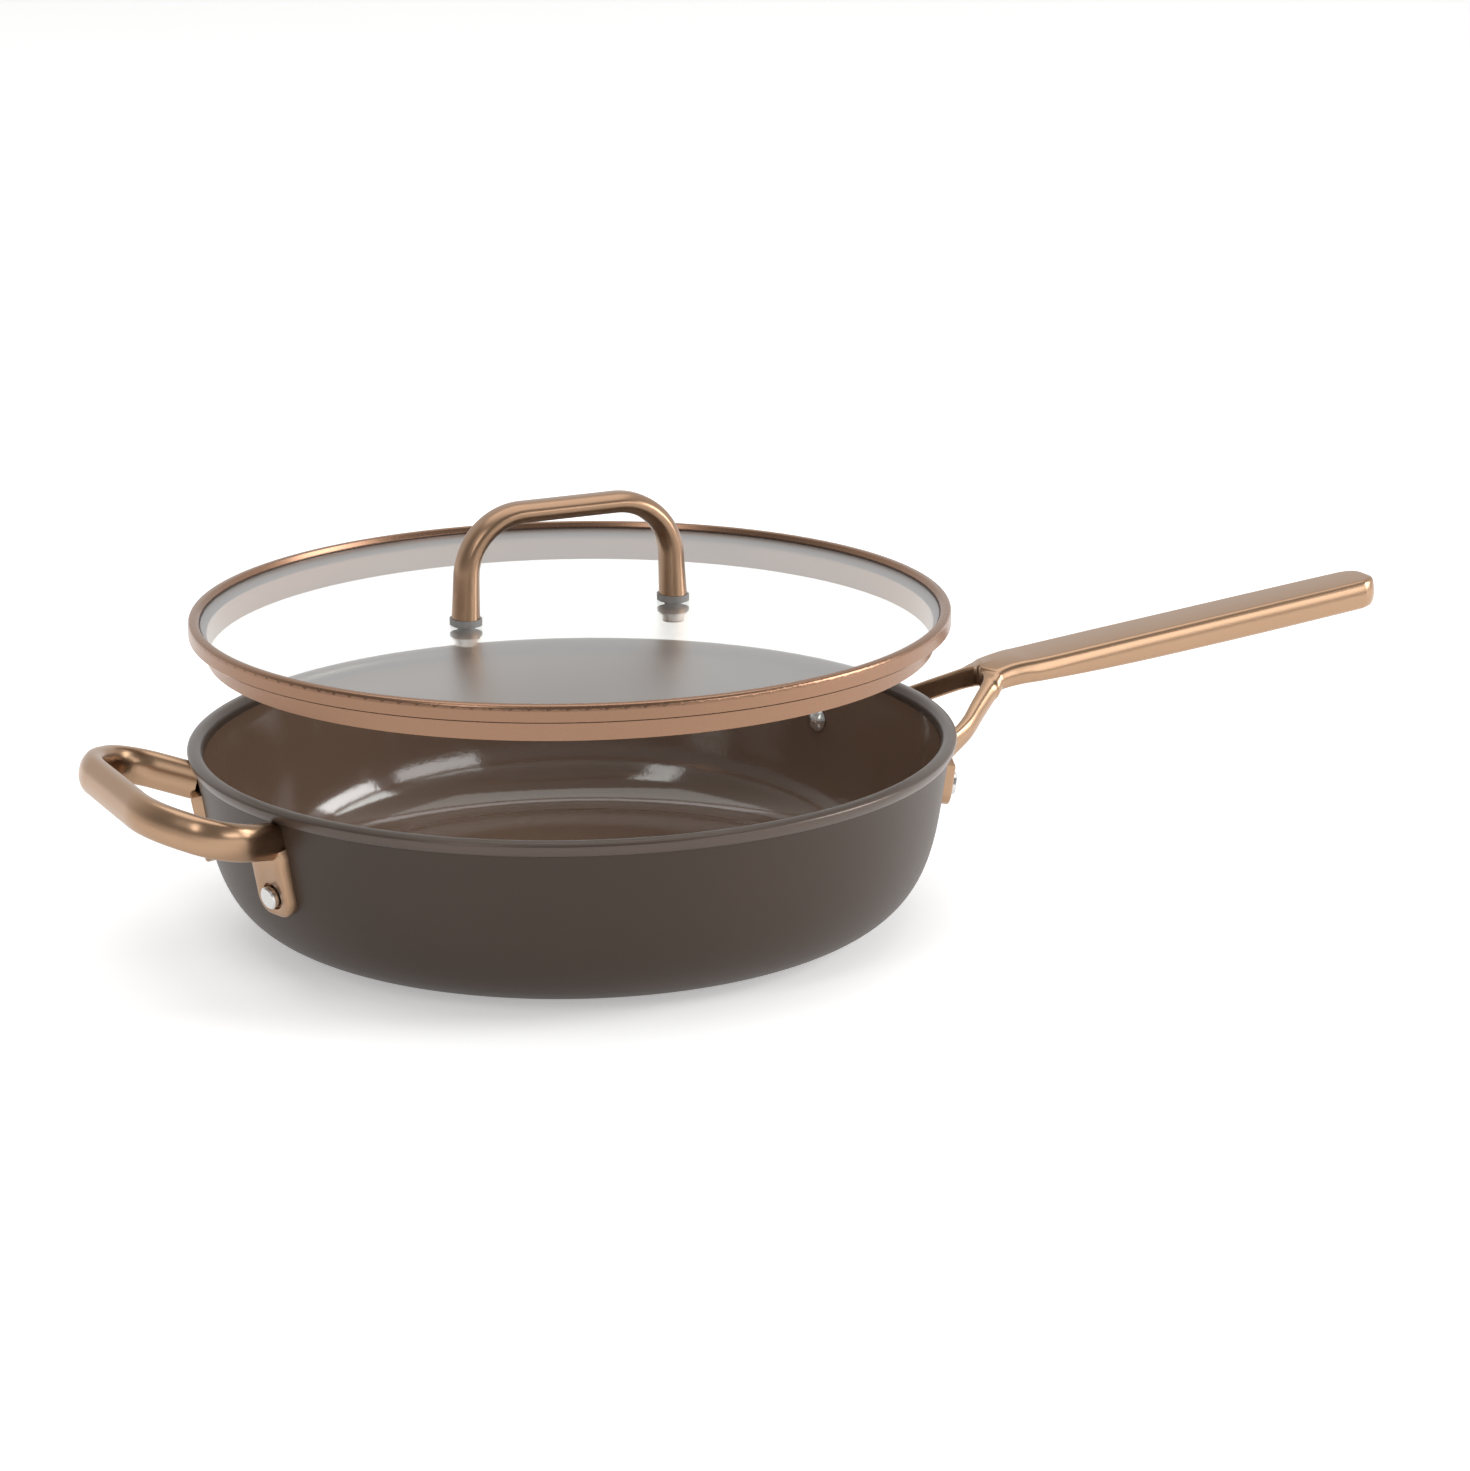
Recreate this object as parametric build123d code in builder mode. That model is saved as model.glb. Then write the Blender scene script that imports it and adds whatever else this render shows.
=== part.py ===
from build123d import *
import math
import os

# Wide saute pan with a forked long handle, a helper handle and a lift-off glass lid.
# Millimetres, +Z up, +X along the long handle. The origin is the centre of the flat base.
# The lid is drawn raised above the pan, and drops straight down onto the crest of the rim.

os.makedirs("parts", exist_ok=True)

# ---- Pan body: a forged shell with a rounded, thickened lip ----
pan_height = 68.0
rim_radius = 140.0
base_radius = 94.0
floor_thickness = 6.0
wall_thickness = 3.9
wall_flare = 0.228          # how far the upper wall leans out for each millimetre of height
lip_height = 5.5            # from the line under the lip up to its crest
lip_overhang = 0.9          # how far the lip stands out past the wall under it
lip_outer_depth = 1.7       # the widest point of the lip is this far below its crest
lip_outer_run = 3.3         # from the crest of the lip out to its widest point
lip_inner_run = 2.7         # from the crest of the lip in to its inner edge
lip_inner_depth = 4.8
outer_corner_reach = 42.0   # pull of the curve between the base and the wall, along the base
outer_corner_rise = 25.0    # the same pull, down along the wall
cooking_floor_radius = 111.0
cove_reach = 18.0           # pull of the inner curve, out from the cooking floor
cove_angle = 17.0           # the crease between the cooking floor and the inner curve
cove_rise = 32.0            # pull of the inner curve, down along the wall

# ---- Base disc: a thin steel plate let into the underside for induction hobs ----
disc_radius = 86.0
disc_thickness = 1.2
disc_gap = 0.1

# ---- Rivets and the tabs that they hold ----
shank_radius = 2.5
shank_gap = 0.05
inner_head_radius = 4.6
inner_head_height = 2.6
outer_head_radius = 4.1
outer_head_stand = 2.2      # how far the outer head stands proud of the tab
rivet_well_radius = 4.9     # the hole in the tab that the outer head sits in
rivet_well_depth = 1.6
seat_gap = 0.08             # between a curved tab and the curved wall behind it
lip_gap = 0.6               # between the lip and an arm that passes it
tab_corner_radius = 6.0
head_edge = 0.5
inner_seat_drop = 0.3       # the inner head stands off the curved wall by this much at its middle

# ---- Long handle: two arms that join in a flat-topped bar ----
handle_rivet_angle = 21.0
handle_rivet_height = 45.0
handle_tab_width = 18.0
handle_tab_thickness = 3.6
handle_tab_drop = 7.2       # from the rivet down to the end of the tab
handle_tab_climb = 8.5      # from the rivet up into the arm
handle_reach = 201.0        # from the outside of the rim to the tip of the handle
handle_slope = 5.5          # the handle rises outwards at this angle
fork_ridge_height = 69.7    # height of the side ridge where the bar starts
bar_start = 48.0            # from the outside of the rim to where the bar is fully formed
bar_half_width = 12.3
tip_half_width = 11.2
tip_corner_radius = 8.5
top_depth = 5.8             # from the side ridge up to the flat top
neck_bottom_depth = 3.4     # from the side ridge down to the underside, where the bar starts
belly_bottom_depth = 4.4    # the same a little further out
bar_bottom_depth = 5.7      # the same over the rest of the bar
neck_length = 24.0
belly_length = 88.0         # from the neck to where the bar has its full depth
side_bevel = 1.75           # how far the upper side leans in between the ridge and the top
crotch_distance = 34.4      # from the outside of the rim to where the arms' inner sides would meet
crotch_top_height = 75.0    # height of the arms' top faces at that point
arm_splay = 41.2            # each arm turns out from the bar by this angle
arm_fall = 0.405            # how far the arms drop for each millimetre towards the pan
arm_depth = 8.2
arm_root_width = 12.0
arm_end_width = 5.0
arm_length = 37.0
wrap_start_angle = 15.0     # each arm then lies along the wall, between these two angles
wrap_end_angle = 23.4
wrap_start_inset = 3.0      # the arms' inner sides lie this far inside the rim there
wrap_end_inset = 5.2
wrap_top_height = 55.0
wrap_end_top_height = 53.3
wrap_thickness = 4.2

# ---- Helper handle: a raised loop with a riveted tab at each end ----
helper_rivet_angle = 16.2
helper_rivet_height = 35.0
helper_tab_width = 18.0
helper_tab_thickness = 3.2
helper_tab_drop = 7.6
helper_tab_climb = 20.0
loop_wall_half = 41.0       # half the distance between the two ends of the loop
loop_root_splay = 0.66      # how steeply the loop widens from its roots
loop_root_bury = 8.0        # the roots run on this far before they are cut back to the wall
loop_belly_half = 53.6
loop_belly_start = 18.5
loop_belly_end = 30.5
loop_radii = [18.0, 15.0, 30.0]
loop_end_half = 36.0
loop_root_inset = 11.0      # the roots of the loop start this far inside the rim
loop_root_height = 55.0
loop_reach = 44.8           # from its roots to the middle of its outer end
loop_rise = 12.5
loop_tilt = math.degrees(math.atan2(loop_rise, loop_reach))
loop_height = 13.4
loop_width = 9.0
loop_edge_radius = 1.6

# ---- Lid: flat glass in a rolled metal rim ----
lid_gap_raised = 41.0       # how far the lid is held above its seat
lid_rim_radius = 137.8
lid_crest_height = 6.4      # from the seat up to the crest of the rolled rim
lid_crest_width = 1.6
lid_flange_depth = 7.6
lid_flange_radius = 132.1
lid_flange_draft = 0.5
lid_sheet = 0.8
lid_lip_radius = 133.9      # inner edge of the rolled rim, on top of the glass
glass_thickness = 3.0
gasket_thickness = 0.3
glass_edge_gap = 0.1
gasket_lip = 0.5            # how far the gasket shows inside the rolled rim

# ---- Lid handle: an arch on two feet ----
foot_half_spacing = 40.75
foot_width = 10.0
arch_height = 42.8          # top of the arch above the glass
arch_thickness = 7.5
arch_depth = 12.0
arch_lean = 1.9             # how far each leg leans in on its way up
arch_outer_radius = 30.0
arch_inner_radius = 23.0
arch_bevel_side = 3.6       # bevel of the arch's long edges, across its depth
arch_bevel_face = 2.4       # and across its thickness
upper_seal_thickness = 2.4
upper_seal_overhang = 0.5
lower_seal_radius = 5.8
lower_seal_thickness = 1.3
washer_radius = 4.9
washer_thickness = 0.8
screw_radius = 2.0
screw_head_radius = 4.0
screw_head_height = 2.8
screw_depth = 12.0          # how far each screw goes into the foot of the arch
screw_gap = 0.1
drive_width = 2.5           # across the flats of the hexagon recess in the screw head
drive_depth = 1.6
glass_hole_radius = 3.2
seal_edge_radius = 0.5


# ---- The pan's outside, shared by the body and by all that is fitted against it ----
lip_line_height = pan_height - lip_height
crest_radius = rim_radius - lip_outer_run
lip_inner_radius = crest_radius - lip_inner_run
lip_under_radius = rim_radius - 1.4
wall_top_radius = lip_under_radius - lip_overhang
wall_foot_pull = (wall_top_radius - wall_flare * outer_corner_rise, lip_line_height - outer_corner_rise)
outer_wall = Bezier(
    (base_radius, 0), (base_radius + outer_corner_reach, 0), wall_foot_pull, (wall_top_radius, lip_line_height)
)


def draw_outside(grow=0):
    """Draw the outside of the pan, from the edge of its flat base up to the crest of its lip."""
    add(outer_wall.translate((grow, 0, 0)))
    lip_widest = (rim_radius + grow, pan_height - lip_outer_depth)
    Polyline(
        (wall_top_radius + grow, lip_line_height),
        (lip_under_radius + grow, lip_line_height + 0.4),
        lip_widest,
    )
    Bezier(
        lip_widest,
        (rim_radius + grow, pan_height - 0.4 * lip_outer_depth),
        (crest_radius + 0.55 * lip_outer_run + grow, pan_height),
        (crest_radius + grow, pan_height),
    )


def wall_plane(angle, height):
    """A plane on the outside of the wall, facing out, with its Y axis up along the wall."""
    low, high = 0.3, 1.0
    for _ in range(40):
        middle = (low + high) / 2
        if (outer_wall @ middle).Y < height:
            low = middle
        else:
            high = middle
    spot = outer_wall @ low
    run = outer_wall % low
    turn = math.radians(angle)
    out = Vector(run.Y * math.cos(turn), run.Y * math.sin(turn), -run.X)
    side = Vector(-math.sin(turn), math.cos(turn), 0)
    return Plane(origin=(spot.X * math.cos(turn), spot.X * math.sin(turn), spot.Y), x_dir=side, z_dir=out)


# The space that the pan fills, grown by the seat gap, which the tabs and arms are cut back to.
with BuildPart() as envelope:
    with BuildSketch(Plane.XZ):
        with BuildLine():
            draw_outside(seat_gap)
            Polyline(
                (crest_radius + seat_gap, pan_height), (0, pan_height), (0, 0), (base_radius + seat_gap, 0)
            )
        make_face()
    revolve(axis=Axis.Z)

rivet_spots = {
    "long_handle_rivet_front": wall_plane(-handle_rivet_angle, handle_rivet_height),
    "long_handle_rivet_back": wall_plane(handle_rivet_angle, handle_rivet_height),
    "helper_handle_rivet_front": wall_plane(180 + helper_rivet_angle, helper_rivet_height),
    "helper_handle_rivet_back": wall_plane(180 - helper_rivet_angle, helper_rivet_height),
}

# ---- Pan body ----
inner_wall_radius = wall_top_radius - wall_thickness
with BuildPart() as pan_body:
    with BuildSketch(Plane.XZ):
        with BuildLine():
            draw_outside()
            Bezier(
                (crest_radius, pan_height),
                (crest_radius - 0.75 * lip_inner_run, pan_height),
                (lip_inner_radius, pan_height - 0.45 * lip_inner_depth),
                (lip_inner_radius, pan_height - lip_inner_depth),
            )
            Line((lip_inner_radius, pan_height - lip_inner_depth), (inner_wall_radius, lip_line_height - 2))
            Bezier(
                (inner_wall_radius, lip_line_height - 2),
                (inner_wall_radius - wall_flare * cove_rise, lip_line_height - 2 - cove_rise),
                (cooking_floor_radius + cove_reach, floor_thickness + cove_reach * math.tan(math.radians(cove_angle))),
                (cooking_floor_radius, floor_thickness),
            )
            Polyline(
                (cooking_floor_radius, floor_thickness),
                (0, floor_thickness),
                (0, disc_thickness),
                (disc_radius + disc_gap, disc_thickness),
                (disc_radius + disc_gap, 0),
                (base_radius, 0),
            )
        make_face()
    revolve(axis=Axis.Z)
    for spot in rivet_spots.values():
        with BuildSketch(spot):
            Circle(shank_radius + shank_gap)
        extrude(amount=3 * wall_thickness, both=True, mode=Mode.SUBTRACT)

# ---- Base disc ----
with BuildPart() as base_disc:
    Cylinder(disc_radius, disc_thickness, align=(Align.CENTER, Align.CENTER, Align.MIN))

def cut_back_to_pan():
    """Cut the part being built back to the wall, and to just outside the lip above it."""
    add(envelope.part, mode=Mode.SUBTRACT)
    with BuildSketch(Plane.XY.offset(lip_line_height)) as clear_of_lip:
        Circle(rim_radius + lip_gap)
    extrude(clear_of_lip.sketch, amount=3 * lip_height, mode=Mode.SUBTRACT)


def add_tab(spot, width, thickness, drop, climb):
    """Add a riveted tab with its rivet at the spot: rounded below, square into the arm above."""
    with BuildSketch(spot) as tab:
        with Locations((0, (climb - drop) / 2)):
            Rectangle(width, climb + drop)
        fillet(tab.vertices().group_by(Axis.Y)[0], tab_corner_radius)
    extrude(tab.sketch, amount=thickness)
    extrude(tab.sketch, amount=-wall_thickness)


def bore_tab(spot, thickness):
    """Bore the tab for the rivet's shank, and open the wider well for its outer head."""
    with BuildSketch(spot) as shank_hole:
        Circle(shank_radius + shank_gap)
    extrude(shank_hole.sketch, amount=2 * thickness, mode=Mode.SUBTRACT)
    with BuildSketch(spot.offset(thickness - rivet_well_depth)) as well:
        Circle(rivet_well_radius)
    extrude(well.sketch, amount=2 * thickness, mode=Mode.SUBTRACT)


# ---- Long handle: one half is built through its cross-sections and mirrored ----
slope_rise = math.tan(math.radians(handle_slope))
splay = math.radians(arm_splay)
bar_start_x = rim_radius + bar_start
crotch_x = rim_radius + crotch_distance
tip_x = rim_radius + handle_reach


def bar_section(distance, half_width, bottom_depth):
    """A section across half the bar: where it starts and ends in plan, and its three heights."""
    ridge = fork_ridge_height + distance * slope_rise
    x = bar_start_x + distance
    return (x, -1), (x, half_width), ridge + top_depth, ridge, ridge - bottom_depth


def arm_section(distance, width):
    """A section across one arm, square to the way it runs out from the bar."""
    x = crotch_x - distance * math.cos(splay)
    y = distance * math.sin(splay)
    top = crotch_top_height - arm_fall * distance
    outer = (x + width * math.sin(splay), y + width * math.cos(splay))
    return (x, y), outer, top, top - arm_depth / 2, top - arm_depth


def wrap_section(angle, radius, top):
    """A section across the end of an arm, where it lies along the wall of the pan."""
    turn = math.radians(angle)
    inner = (radius * math.cos(turn), radius * math.sin(turn))
    reach = radius + wrap_thickness
    return inner, (reach * math.cos(turn), reach * math.sin(turn)), top, top - arm_depth / 2, top - arm_depth


half_sections = [
    bar_section(handle_reach - bar_start, tip_half_width, bar_bottom_depth),
    bar_section(neck_length + belly_length, (bar_half_width + tip_half_width) / 2, bar_bottom_depth),
    bar_section(neck_length, bar_half_width, belly_bottom_depth),
    bar_section(0, bar_half_width, neck_bottom_depth),
    arm_section(1, arm_root_width),
    arm_section(arm_length / 4, 0.6 * arm_root_width),
    arm_section(0.6 * arm_length, 1.15 * arm_end_width),
    arm_section(arm_length, arm_end_width),
    wrap_section(wrap_start_angle, rim_radius - wrap_start_inset, wrap_top_height),
    wrap_section(wrap_end_angle, rim_radius - wrap_end_inset, wrap_end_top_height),
]
with BuildPart() as long_handle:
    for inner, outer, top, ridge, bottom in half_sections:
        across = Vector(outer[0] - inner[0], outer[1] - inner[1], 0)
        width = across.length
        bevel = min(side_bevel, 0.28 * width)
        with BuildSketch(Plane(origin=(*inner, 0), x_dir=across, z_dir=across.cross(Vector(0, 0, 1)))):
            with BuildLine():
                Polyline(
                    (0, bottom),
                    (width - 0.8 * bevel, bottom),
                    (width, ridge),
                    (width - bevel, top),
                    (0, top),
                    close=True,
                )
            make_face()
    loft(ruled=True)
    with BuildSketch(Plane.XY) as tip_corner:
        with Locations((tip_x, tip_half_width)):
            Rectangle(2 * tip_corner_radius, 2 * tip_corner_radius)
        with Locations((tip_x - tip_corner_radius, tip_half_width - tip_corner_radius)):
            Circle(tip_corner_radius, mode=Mode.SUBTRACT)
    extrude(tip_corner.sketch, amount=2 * fork_ridge_height, mode=Mode.SUBTRACT)
    spot = rivet_spots["long_handle_rivet_back"]
    add_tab(spot, handle_tab_width, handle_tab_thickness, handle_tab_drop, handle_tab_climb)
    cut_back_to_pan()
    bore_tab(spot, handle_tab_thickness)
    mirror(about=Plane.XZ)

# ---- Helper handle ----
loop_plane = Plane(
    origin=(loop_root_inset - rim_radius, 0, loop_root_height), x_dir=(-1, 0, 0), z_dir=(0, 0, 1)
).rotated((0, loop_tilt, 0))
loop_length = loop_reach / math.cos(math.radians(loop_tilt))
loop_half = [
    (-loop_root_bury, loop_wall_half - loop_root_bury * loop_root_splay),
    (loop_belly_start, loop_belly_half),
    (loop_belly_end, loop_belly_half),
    (loop_length, loop_end_half),
]
with BuildPart() as helper_handle:
    with BuildLine(loop_plane) as loop_path:
        FilletPolyline(*loop_half, (loop_length, 0), radius=loop_radii)
    loop_start = loop_path.line @ 0
    with BuildSketch(Plane(origin=loop_start, x_dir=loop_plane.z_dir, z_dir=loop_path.line % 0)) as loop_section:
        half_height = loop_height / 2
        half_width = loop_width / 2
        Polygon(
            (half_height, -0.45 * half_width),
            (half_height, 0.45 * half_width),
            (0.4 * half_height, half_width),
            (-0.3 * half_height, half_width),
            (-half_height, 0.5 * half_width),
            (-half_height, -0.5 * half_width),
            (-0.3 * half_height, -half_width),
            (0.4 * half_height, -half_width),
        )
        fillet(loop_section.vertices(), loop_edge_radius)
    sweep(path=loop_path.line)
    spot = rivet_spots["helper_handle_rivet_front"]
    add_tab(spot, helper_tab_width, helper_tab_thickness, helper_tab_drop, helper_tab_climb)
    cut_back_to_pan()
    bore_tab(spot, helper_tab_thickness)
    mirror(about=Plane.XZ)

# ---- Rivets: a domed head inside the pan, a shank, and a flat-faced head in the tab's well ----
rivets = {}
for name, spot in rivet_spots.items():
    tab_thickness = handle_tab_thickness if name.startswith("long") else helper_tab_thickness
    well_floor = tab_thickness - rivet_well_depth
    outer_face = tab_thickness + outer_head_stand
    inner_face = -wall_thickness - seat_gap - inner_seat_drop
    with BuildPart() as rivet:
        with BuildSketch(Plane.XZ):
            with BuildLine():
                Polyline(
                    (0, outer_face),
                    (outer_head_radius - head_edge, outer_face),
                    (outer_head_radius, outer_face - head_edge),
                    (outer_head_radius, well_floor),
                    (shank_radius, well_floor),
                    (shank_radius, inner_face),
                    (inner_head_radius, inner_face),
                    (inner_head_radius, inner_face - head_edge),
                )
                TangentArc(
                    (0, inner_face - inner_head_height),
                    (inner_head_radius, inner_face - head_edge),
                    tangent=(1, 0),
                )
                Line((0, inner_face - inner_head_height), (0, outer_face))
            make_face()
        revolve(axis=Axis.Z)
    rivets[name] = spot * rivet.part

# ---- Lid ----
seat = pan_height + lid_gap_raised
glass_bottom = seat + lid_sheet + gasket_thickness
glass_top = glass_bottom + glass_thickness
crest = seat + lid_crest_height
glass_radius = lid_rim_radius - lid_sheet - gasket_thickness - glass_edge_gap
crest_edge_radius = lid_lip_radius + lid_crest_width

with BuildPart() as lid_rim:
    with BuildSketch(Plane.XZ):
        with BuildLine():
            Polyline(
                (lid_lip_radius, glass_top + gasket_thickness),
                (lid_lip_radius, glass_top + gasket_thickness + 0.4),
                (crest_edge_radius - 0.9, crest - 0.25),
                (crest_edge_radius - 0.3, crest),
                (crest_edge_radius + 0.3, crest),
            )
            Bezier(
                (crest_edge_radius + 0.3, crest),
                (lid_rim_radius - 0.5, crest),
                (lid_rim_radius, crest - 0.6),
                (lid_rim_radius, crest - 2.2),
            )
            Polyline(
                (lid_rim_radius, crest - 2.2),
                (lid_rim_radius, seat + 0.5),
                (lid_rim_radius - 0.5, seat),
                (lid_flange_radius, seat),
                (lid_flange_radius - lid_flange_draft, seat - lid_flange_depth),
                (lid_flange_radius - lid_flange_draft - lid_sheet, seat - lid_flange_depth),
                (lid_flange_radius - lid_sheet, seat + lid_sheet),
                (lid_rim_radius - lid_sheet, seat + lid_sheet),
                (lid_rim_radius - lid_sheet, glass_top + gasket_thickness),
                (lid_lip_radius, glass_top + gasket_thickness),
            )
        make_face()
    revolve(axis=Axis.Z)

with BuildPart() as lid_rim_gasket:
    with BuildSketch(Plane.XZ):
        with BuildLine():
            Polyline(
                (lid_lip_radius - gasket_lip, glass_top),
                (glass_radius, glass_top),
                (glass_radius, glass_bottom),
                (lid_flange_radius - lid_sheet, glass_bottom),
                (lid_flange_radius - lid_sheet, seat + lid_sheet),
                (glass_radius + gasket_thickness, seat + lid_sheet),
                (glass_radius + gasket_thickness, glass_top + gasket_thickness),
                (lid_lip_radius - gasket_lip, glass_top + gasket_thickness),
                close=True,
            )
        make_face()
    revolve(axis=Axis.Z)

with BuildPart() as lid_glass:
    with BuildSketch(Plane.XY.offset(glass_bottom)):
        Circle(glass_radius)
        with Locations((-foot_half_spacing, 0), (foot_half_spacing, 0)):
            Circle(glass_hole_radius, mode=Mode.SUBTRACT)
    extrude(amount=glass_thickness)

# ---- Lid handle ----
foot_height = glass_top + upper_seal_thickness
arch_top = glass_top + arch_height
foot_outer = foot_half_spacing + foot_width / 2
foot_inner = foot_half_spacing - foot_width / 2
with BuildPart() as lid_handle:
    with BuildSketch(Plane.XZ) as arch_side:
        Polygon(
            (-foot_outer, foot_height),
            (-foot_outer + arch_lean, arch_top),
            (foot_outer - arch_lean, arch_top),
            (foot_outer, foot_height),
        )
        fillet(arch_side.vertices().group_by(Axis.Y)[-1], arch_outer_radius)
        with BuildSketch(Plane.XZ, mode=Mode.SUBTRACT) as arch_gap:
            Polygon(
                (-foot_inner, foot_height),
                (-foot_inner + arch_lean / 2, arch_top - arch_thickness),
                (foot_inner - arch_lean / 2, arch_top - arch_thickness),
                (foot_inner, foot_height),
            )
            fillet(arch_gap.vertices().group_by(Axis.Y)[-1], arch_inner_radius)
    extrude(amount=arch_depth / 2, both=True)
    for face in lid_handle.faces().filter_by(Axis.Y):
        long_edges = face.edges().filter_by(lambda edge: edge.center().Z > foot_height + 0.1)
        chamfer(long_edges, length=arch_bevel_side, length2=arch_bevel_face, reference=face)
    for x in (-foot_half_spacing, foot_half_spacing):
        with Locations((x, 0, foot_height)):
            Cylinder(
                screw_radius + screw_gap,
                screw_depth + screw_gap,
                align=(Align.CENTER, Align.CENTER, Align.MIN),
                mode=Mode.SUBTRACT,
            )

# ---- Seals, washers and screws at the feet of the lid handle ----
lower_seal_top = glass_bottom
washer_top = lower_seal_top - lower_seal_thickness
head_top = washer_top - washer_thickness
foot_hardware = {}
for x, side in ((-foot_half_spacing, "left"), (foot_half_spacing, "right")):
    with BuildPart() as upper_seal:
        with BuildSketch(Plane.XY.offset(glass_top)):
            with Locations((x, 0)):
                SlotOverall(arch_depth + 2 * upper_seal_overhang, foot_width + 2 * upper_seal_overhang, rotation=90)
                Circle(screw_radius + screw_gap, mode=Mode.SUBTRACT)
        extrude(amount=upper_seal_thickness)
        with BuildSketch(Plane.XY.offset(glass_top)):
            with Locations((x, 0)):
                Circle(glass_hole_radius - screw_gap)
                Circle(screw_radius + screw_gap, mode=Mode.SUBTRACT)
        extrude(amount=-glass_thickness)
    with BuildPart() as lower_seal:
        with BuildSketch(Plane.XY.offset(lower_seal_top)):
            with Locations((x, 0)):
                Circle(lower_seal_radius)
                Circle(screw_radius + screw_gap, mode=Mode.SUBTRACT)
        extrude(amount=-lower_seal_thickness)
        fillet(lower_seal.edges().group_by(Axis.Z)[0].sort_by(SortBy.LENGTH)[-1], seal_edge_radius)
    with BuildPart() as washer:
        with BuildSketch(Plane.XY.offset(washer_top)):
            with Locations((x, 0)):
                Circle(washer_radius)
                Circle(screw_radius + screw_gap, mode=Mode.SUBTRACT)
        extrude(amount=-washer_thickness)
    with BuildPart() as screw:
        with BuildSketch(Plane.XY.offset(head_top)):
            with Locations((x, 0)):
                Circle(screw_head_radius)
        extrude(amount=-screw_head_height)
        fillet(screw.edges().group_by(Axis.Z)[0], seal_edge_radius)
        with BuildSketch(Plane.XY.offset(head_top)):
            with Locations((x, 0)):
                Circle(screw_radius)
        extrude(amount=foot_height + screw_depth - head_top)
        with BuildSketch(Plane.XY.offset(head_top - screw_head_height)):
            with Locations((x, 0)):
                RegularPolygon(drive_width / 2, 6, major_radius=False)
        extrude(amount=drive_depth, mode=Mode.SUBTRACT)
    foot_hardware[f"lid_upper_seal_{side}"] = upper_seal.part
    foot_hardware[f"lid_lower_seal_{side}"] = lower_seal.part
    foot_hardware[f"lid_washer_{side}"] = washer.part
    foot_hardware[f"lid_screw_{side}"] = screw.part

# ---- Write each piece to its own file ----
pieces = {
    "pan_body": pan_body.part,
    "base_disc": base_disc.part,
    "long_handle": long_handle.part,
    "helper_handle": helper_handle.part,
    **rivets,
    "lid_glass": lid_glass.part,
    "lid_rim": lid_rim.part,
    "lid_rim_gasket": lid_rim_gasket.part,
    "lid_handle": lid_handle.part,
    **foot_hardware,
}
for name, piece in pieces.items():
    piece.label = name
    export_step(piece, f"parts/{name}.step")
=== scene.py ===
import math

import bmesh
import bpy
from mathutils import Matrix, Vector


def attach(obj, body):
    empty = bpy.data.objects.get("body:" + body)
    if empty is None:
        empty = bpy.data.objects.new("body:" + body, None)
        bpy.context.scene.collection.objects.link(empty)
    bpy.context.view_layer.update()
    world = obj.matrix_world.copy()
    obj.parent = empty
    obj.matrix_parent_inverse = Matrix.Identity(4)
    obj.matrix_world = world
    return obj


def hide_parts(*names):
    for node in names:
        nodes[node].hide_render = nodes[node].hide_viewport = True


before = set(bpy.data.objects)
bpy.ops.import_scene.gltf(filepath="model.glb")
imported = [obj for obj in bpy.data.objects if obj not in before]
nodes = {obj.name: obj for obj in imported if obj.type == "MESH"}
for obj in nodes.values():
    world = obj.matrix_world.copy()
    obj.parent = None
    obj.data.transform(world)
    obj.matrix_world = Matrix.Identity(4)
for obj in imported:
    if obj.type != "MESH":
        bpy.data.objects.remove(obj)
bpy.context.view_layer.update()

# ==== Pan body ====
# A forged aluminium shell with a thick rolled lip. The outside has a fine satin coating,
# and the inside a glossy non-stick coating with a slight orange-peel surface.
MM = 0.001
rim_radius = 140.0
pan_height = 68.0
crest = (136.7, pan_height)
lip_outer = (rim_radius, 66.3)
base_radius = 94.0
base_edge_inset = 1.0
seat_radius = 86.1
seat_depth = 1.3
wall_low_pull = (136.0, 0.0)
wall_high_pull = (132.0, 37.5)
wall_top = (137.7, 62.5)
cooking_floor = (111.0, 6.0)
inner_wall_top = (133.8, 60.5)
turn_steps = 288
sharp_over = 32


def curve(a, b, c, d, steps):
    """Points on a curve that leaves a towards b and reaches d from c, without the first."""
    points = []
    for i in range(1, steps + 1):
        t = i / steps
        s = 1 - t
        points.append(tuple(
            s ** 3 * a[k] + 3 * s * s * t * b[k] + 3 * s * t * t * c[k] + t ** 3 * d[k]
            for k in (0, 1)
        ))
    return points


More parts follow.
